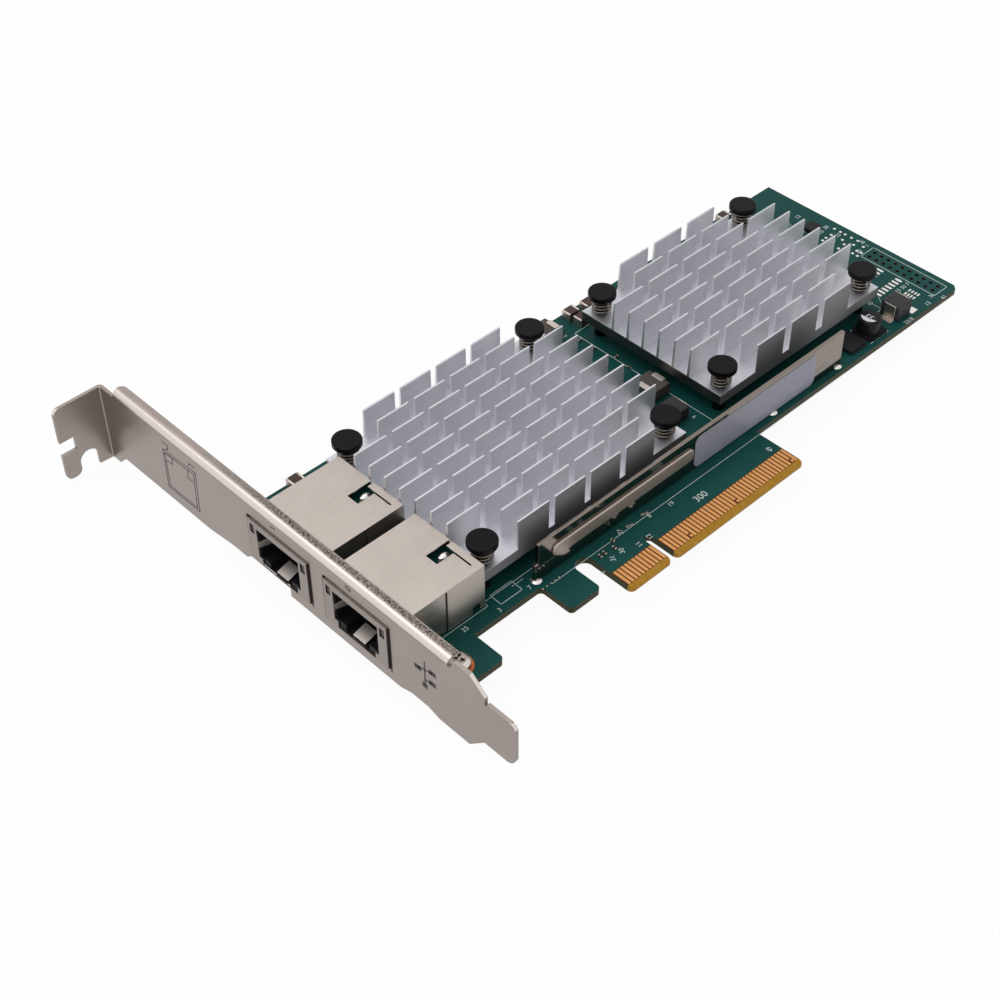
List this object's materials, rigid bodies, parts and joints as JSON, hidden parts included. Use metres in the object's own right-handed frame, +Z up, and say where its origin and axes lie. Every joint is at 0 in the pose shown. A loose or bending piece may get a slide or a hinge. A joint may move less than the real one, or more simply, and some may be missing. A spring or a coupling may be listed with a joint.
{
  "type": "network interface card",
  "caption": "Flat expansion card with a full-height folded bracket, shielded modular jacks, cross-cut finned heatsinks on sprung push pins, a stiffener rail and a gold edge connector.",
  "frame": {"origin": "on the connector's bottom edge, in the middle of its key notch, in the plane of the board's component side", "axes": "+X from the bracket to the board's far end, +Y from the edge connector to the long top edge, +Z up from the component side"},
  "size_m": [0.1802, 0.1223, 0.0219],
  "materials": {
    "solder_mask_board": "satin green solder mask over glass-epoxy laminate",
    "gold_contacts": "gold plating over nickel",
    "plated_steel": "nickel-plated steel sheet, satin",
    "tinned_steel": "tin-plated sheet, satin",
    "machined_aluminium": "clear-passivated extruded aluminium",
    "black_nylon": "moulded black nylon",
    "spring_steel": "drawn spring wire",
    "black_moulding": "moulded black glass-filled plastic",
    "clear_light_pipe": "clear moulded polycarbonate",
    "white_label": "satin white label stock",
    "brown_ferrite": "moulded brown ferrite composite",
    "dark_ferrite": "pressed dark ferrite",
    "brown_ceramic": "fired barium ceramic",
    "silver_tin": "matte tin plating",
    "epoxy_package": "moulded black epoxy",
    "thermal_pad": "grey gap-filler pad",
    "inner_green_board": "green solder mask",
    "steel_screw": "zinc-plated steel"
  },
  "bodies": {
    "root": {"circuit_board": "solder_mask_board", "edge_contacts": "gold_contacts", "bracket": "plated_steel", "bracket_screws": "steel_screw", "port_0_shield": "tinned_steel", "port_1_shield": "tinned_steel", "port_0_housing": "black_moulding", "port_1_housing": "black_moulding", "port_0_contacts": "gold_contacts", "port_1_contacts": "gold_contacts", "port_0_light_pipes": "clear_light_pipe", "port_1_light_pipes": "clear_light_pipe", "port_0_inner_board": "inner_green_board", "port_1_inner_board": "inner_green_board", "port_0_transformers": "black_moulding", "port_1_transformers": "black_moulding", "port_0_pins": "silver_tin", "port_1_pins": "silver_tin", "near_heatsink": "machined_aluminium", "far_heatsink": "machined_aluminium", "near_push_pins": "black_nylon", "far_push_pins": "black_nylon", "near_pin_springs": "spring_steel", "far_pin_springs": "spring_steel", "near_thermal_pad": "thermal_pad", "far_thermal_pad": "thermal_pad", "line_driver_chip": "epoxy_package", "line_driver_solder_balls": "silver_tin", "controller_chip": "epoxy_package", "controller_solder_balls": "silver_tin", "stiffener_rail": "plated_steel", "rail_label": "white_label", "can_capacitor": "black_moulding", "can_capacitor_base": "black_moulding", "power_inductor": "dark_ferrite", "black_inductor": "dark_ferrite", "inductor_feet": "silver_tin", "moulded_inductors": "brown_ferrite", "moulded_inductor_clips": "silver_tin", "power_transistor": "epoxy_package", "small_diode": "epoxy_package", "memory_chip": "epoxy_package", "crystal": "silver_tin", "large_capacitors_bodies": "brown_ceramic", "large_capacitors_ends": "silver_tin", "small_capacitors_bodies": "brown_ceramic", "small_capacitors_ends": "silver_tin", "underside_capacitors_bodies": "brown_ceramic", "underside_capacitors_ends": "silver_tin"}
  },
  "joints": []
}
